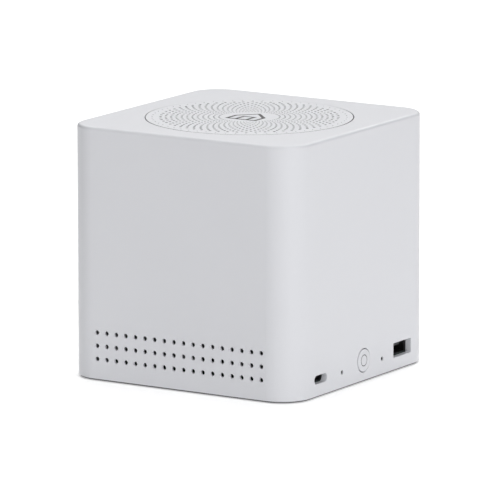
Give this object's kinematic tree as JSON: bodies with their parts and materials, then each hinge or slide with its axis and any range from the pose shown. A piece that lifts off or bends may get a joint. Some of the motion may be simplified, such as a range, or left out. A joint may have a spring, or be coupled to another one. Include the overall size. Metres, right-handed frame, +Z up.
{
  "type": "smart home hub",
  "caption": "Free-standing cube-shaped smart home hub with rounded corners, a perforated speaker grille in its top, vent holes, a press button and USB sockets low on its sides.",
  "frame": {"origin": "on the surface that the hub stands on, below the middle of the housing", "axes": "+Z up, -Y out of the face with the vent holes, +X out of the face with the sockets and the button"},
  "size_m": [0.1103, 0.11, 0.1061],
  "materials": {
    "housing_plastic": "fine satin, cool white moulded plastic",
    "base_plastic": "matte grey moulded plastic",
    "foot_rubber": "matte silicone rubber",
    "screw_steel": "zinc plated",
    "grille_plastic": "fine satin, cool white moulded plastic",
    "emblem_black": "black printed plastic",
    "dust_cloth": "open woven acoustic cloth",
    "speaker_plastic": "matte black",
    "basket_steel": "black powder coat",
    "magnet_ferrite": "matte grey black",
    "pole_steel": "zinc plated, satin",
    "cone_paper": "pressed paper, fine fibre",
    "coil_copper": "enamelled copper wire",
    "surround_rubber": "soft satin rubber",
    "spider_cloth": "impregnated woven cotton",
    "gasket_foam": "soft foam",
    "terminal_board": "phenolic board",
    "lead_jacket": "satin jacket",
    "grommet_rubber": "matte rubber",
    "connector_plastic": "natural nylon",
    "board_laminate": "green solder mask",
    "chip_epoxy": "moulded epoxy",
    "heat_sink_aluminium": "anodised",
    "can_steel": "tin plated sheet",
    "inductor_ferrite": "matte dark grey",
    "capacitor_can": "drawn can",
    "antenna_copper": "plated strip",
    "socket_steel": "nickel plated sheet",
    "socket_black": "black moulding",
    "retainer_plastic": "matte black",
    "switch_black": "black moulding",
    "button_plastic": "fine satin, cool white moulded plastic",
    "light_guide": "smoked light guide"
  },
  "bodies": {
    "housing": {"housing_shell": "housing_plastic", "base_cover": "base_plastic", "foot_front_left": "foot_rubber", "foot_front_right": "foot_rubber", "foot_rear_right": "foot_rubber", "foot_rear_left": "foot_rubber", "base_screw_front_left": "screw_steel", "base_screw_front_right": "screw_steel", "base_screw_rear_right": "screw_steel", "base_screw_rear_left": "screw_steel", "top_grille": "grille_plastic", "emblem": "emblem_black", "dust_cloth": "dust_cloth", "speaker_baffle": "speaker_plastic", "speaker_chamber": "speaker_plastic", "baffle_screw_front_left": "screw_steel", "baffle_screw_front_right": "screw_steel", "baffle_screw_rear_right": "screw_steel", "baffle_screw_rear_left": "screw_steel", "speaker_basket": "basket_steel", "speaker_magnet": "magnet_ferrite", "magnet_top_plate": "pole_steel", "magnet_yoke": "pole_steel", "surround": "surround_rubber", "spider": "spider_cloth", "speaker_gasket": "gasket_foam", "speaker_terminal": "terminal_board", "lead_grommet": "grommet_rubber", "speaker_lead": "lead_jacket", "lead_plug": "connector_plastic", "main_board": "board_laminate", "board_screw_1": "screw_steel", "board_screw_2": "screw_steel", "board_screw_3": "screw_steel", "board_screw_4": "screw_steel", "board_socket": "connector_plastic", "processor": "chip_epoxy", "heat_sink": "heat_sink_aluminium", "memory_chip": "chip_epoxy", "radio_can_wide_area": "can_steel", "radio_can_short_range": "can_steel", "power_inductor": "inductor_ferrite", "supply_capacitor": "capacitor_can", "antenna_rear": "antenna_copper", "usb_c_shell": "socket_steel", "usb_c_tongue": "socket_black", "usb_a_shell": "socket_steel", "usb_a_tongue": "socket_black", "microphone": "can_steel", "microphone_sleeve": "grommet_rubber", "button_retainer": "retainer_plastic", "power_switch_body": "switch_black", "reset_switch_body": "switch_black"},
    "power_button": {"power_button": "button_plastic", "status_light_ring": "light_guide"},
    "power_switch_plunger": {"power_switch_plunger": "switch_black"},
    "reset_switch_plunger": {"reset_switch_plunger": "switch_black"},
    "speaker_cone": {"speaker_cone": "cone_paper", "dust_cap": "cone_paper", "voice_coil": "coil_copper"}
  },
  "joints": [
    {"name": "power_button_press", "type": "slide", "parent": "housing", "child": "power_button", "axis": [-1, 0, 0], "range_m": [0, 0.0005], "stiffness_N_per_m": 800},
    {"name": "power_switch_travel", "type": "slide", "parent": "housing", "child": "power_switch_plunger", "axis": [-1, 0, 0], "range_m": [0, 0.00025]},
    {"name": "reset_switch_press", "type": "slide", "parent": "housing", "child": "reset_switch_plunger", "axis": [-1, 0, 0], "range_m": [0, 0.00025], "stiffness_N_per_m": 600},
    {"name": "cone_travel", "type": "slide", "parent": "housing", "child": "speaker_cone", "axis": [0, 0, 1], "range_m": [-0.0015, 0.0015], "stiffness_N_per_m": 1200, "deforming": ["surround", "spider"]}
  ],
  "couplings": [
    {"joint": "power_switch_travel", "follows": "power_button_press", "ratio": 0.5}
  ]
}
